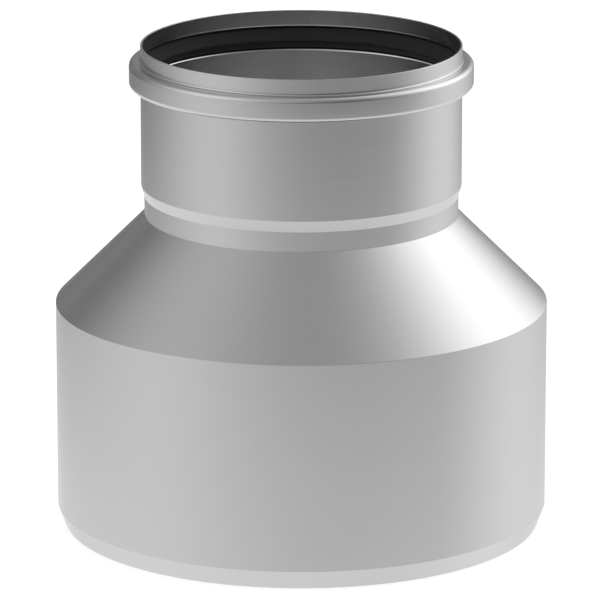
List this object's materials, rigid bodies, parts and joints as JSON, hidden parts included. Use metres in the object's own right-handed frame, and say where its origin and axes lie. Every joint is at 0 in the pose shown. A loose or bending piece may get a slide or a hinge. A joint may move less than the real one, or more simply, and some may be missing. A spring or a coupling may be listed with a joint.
{
  "type": "duct reducer",
  "caption": "Round single-wall duct reducer with a large plain spigot, a cone and a smaller beaded socket that holds a black lip seal.",
  "frame": {"origin": "centre of the large end's open edge, in the plane of that edge", "axes": "+Z along the duct's axis, from the large end towards the small end; the shape is the same all round, so X and Y are free"},
  "size_m": [0.125, 0.125, 0.1241],
  "materials": {
    "steel_sheet": "fine brushed sheet steel, satin",
    "seal_rubber": "matt black moulded rubber"
  },
  "bodies": {
    "root": {"reducer_body": "steel_sheet", "lip_seal": "seal_rubber"}
  },
  "joints": []
}
